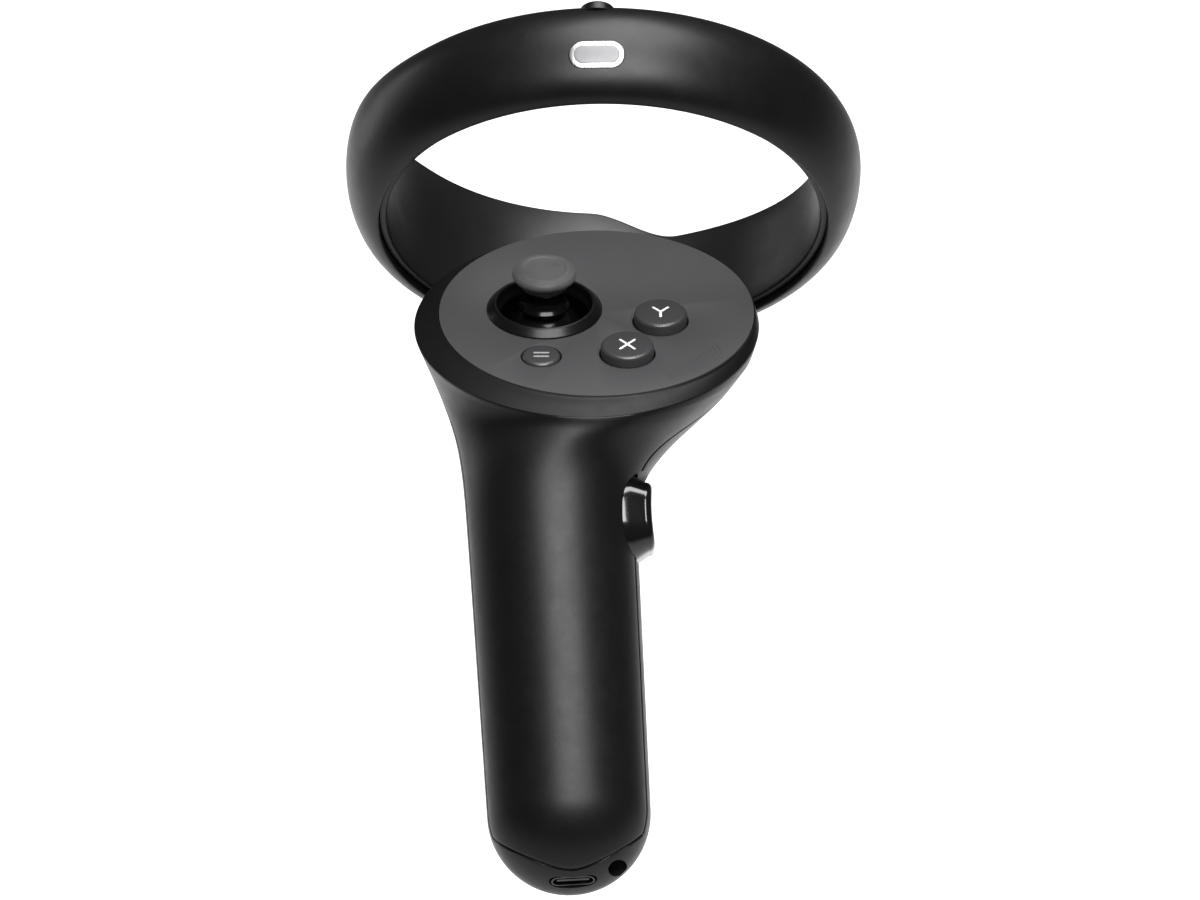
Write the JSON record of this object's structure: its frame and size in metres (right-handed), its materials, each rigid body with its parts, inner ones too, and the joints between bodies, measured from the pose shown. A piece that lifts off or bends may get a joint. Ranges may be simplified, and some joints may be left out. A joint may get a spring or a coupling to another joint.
{
  "type": "vr motion controller",
  "caption": "Left-hand motion controller with a round thumb plate, tracking ring over it, angled round grip handle, index trigger and side grip lever.",
  "frame": {"origin": "centre of the round thumb plate's top face", "axes": "+Z leaves the thumb plate's face, -Y points to the person holding it, +X is the side of the grip lever"},
  "size_m": [0.1058, 0.1564, 0.1579],
  "materials": {
    "body_plastic": "fine grained matte black",
    "plate_plastic": "smooth satin dark grey",
    "ring_plastic": "satin black",
    "stick_rubber": "soft touch black",
    "gloss_black": "glossy black",
    "button_plastic": "satin black",
    "legend": "white printed legend",
    "badge": "brushed",
    "steel": "drawn",
    "board": "solder mask",
    "membrane": "silicone",
    "frame_plastic": "moulded",
    "cell_wrap": "shrink sleeve",
    "clear_lens": "clear epoxy"
  },
  "bodies": {
    "body": {"front_shell": "body_plastic", "rear_shell": "body_plastic", "head_bezel": "ring_plastic", "face_plate": "plate_plastic", "ring_outer_shell": "ring_plastic", "ring_inner_shell": "ring_plastic", "ring_badge": "badge", "ring_boss": "ring_plastic", "led_flex": "board", "tracking_leds": "clear_lens", "stick_collar": "gloss_black", "keypad_membrane": "membrane", "main_board": "board", "inner_frame": "frame_plastic", "board_screws": "steel", "battery_cell": "cell_wrap", "battery_cradle": "frame_plastic", "haptic_motor": "steel", "usb_board": "board", "usb_socket": "steel", "trigger_pin": "steel", "trigger_spring": "steel", "trigger_sensor": "frame_plastic", "grip_pin": "steel", "grip_spring": "steel"},
    "stick_carriage": {"stick_cup": "gloss_black"},
    "stick_yoke_body": {"stick_yoke": "steel"},
    "stick": {"stick_cap": "stick_rubber", "stick_stem": "gloss_black"},
    "x_key": {"x_button": "button_plastic", "x_legend": "legend"},
    "y_key": {"y_button": "button_plastic", "y_legend": "legend"},
    "menu_key": {"menu_button": "button_plastic", "menu_legend": "legend"},
    "trigger_body": {"trigger": "gloss_black", "trigger_magnet": "steel"},
    "grip_body": {"grip_lever": "gloss_black"}
  },
  "joints": [
    {"name": "stick_click", "type": "slide", "parent": "body", "child": "stick_carriage", "axis": [0, 0, -1], "range_m": [0, 0.0005], "stiffness_N_per_m": 3000, "springref_m": -0.0006},
    {"name": "stick_tilt_forward", "type": "hinge", "parent": "stick_carriage", "child": "stick_yoke_body", "pos_m": [-0.0107, 0.0013, -0.008], "axis": [1, 0, 0], "range_deg": [-18, 18], "stiffness_Nm_per_rad": 0.03},
    {"name": "stick_tilt_sideways", "type": "hinge", "parent": "stick_yoke_body", "child": "stick", "pos_m": [-0.0107, 0.0013, -0.008], "axis": [0, 1, 0], "range_deg": [-18, 18], "stiffness_Nm_per_rad": 0.03},
    {"name": "x_press", "type": "slide", "parent": "body", "child": "x_key", "axis": [0, 0, -1], "range_m": [0, 0.001], "stiffness_N_per_m": 600, "springref_m": -0.0008},
    {"name": "y_press", "type": "slide", "parent": "body", "child": "y_key", "axis": [0, 0, -1], "range_m": [0, 0.001], "stiffness_N_per_m": 600, "springref_m": -0.0008},
    {"name": "menu_press", "type": "slide", "parent": "body", "child": "menu_key", "axis": [0, 0, -1], "range_m": [0, 0.0006], "stiffness_N_per_m": 600, "springref_m": -0.0008},
    {"name": "trigger_pull", "type": "hinge", "parent": "body", "child": "trigger_body", "pos_m": [-0.001, 0.0256, -0.0294], "axis": [-1, 0, 0], "range_deg": [0, 16], "stiffness_Nm_per_rad": 0.06, "springref_deg": -8.59},
    {"name": "grip_squeeze", "type": "hinge", "parent": "body", "child": "grip_body", "pos_m": [0.0015, -0.03146, -0.02346], "axis": [0, 0.7071, -0.7071], "range_deg": [0, 6], "stiffness_Nm_per_rad": 0.15, "springref_deg": -4.58}
  ]
}
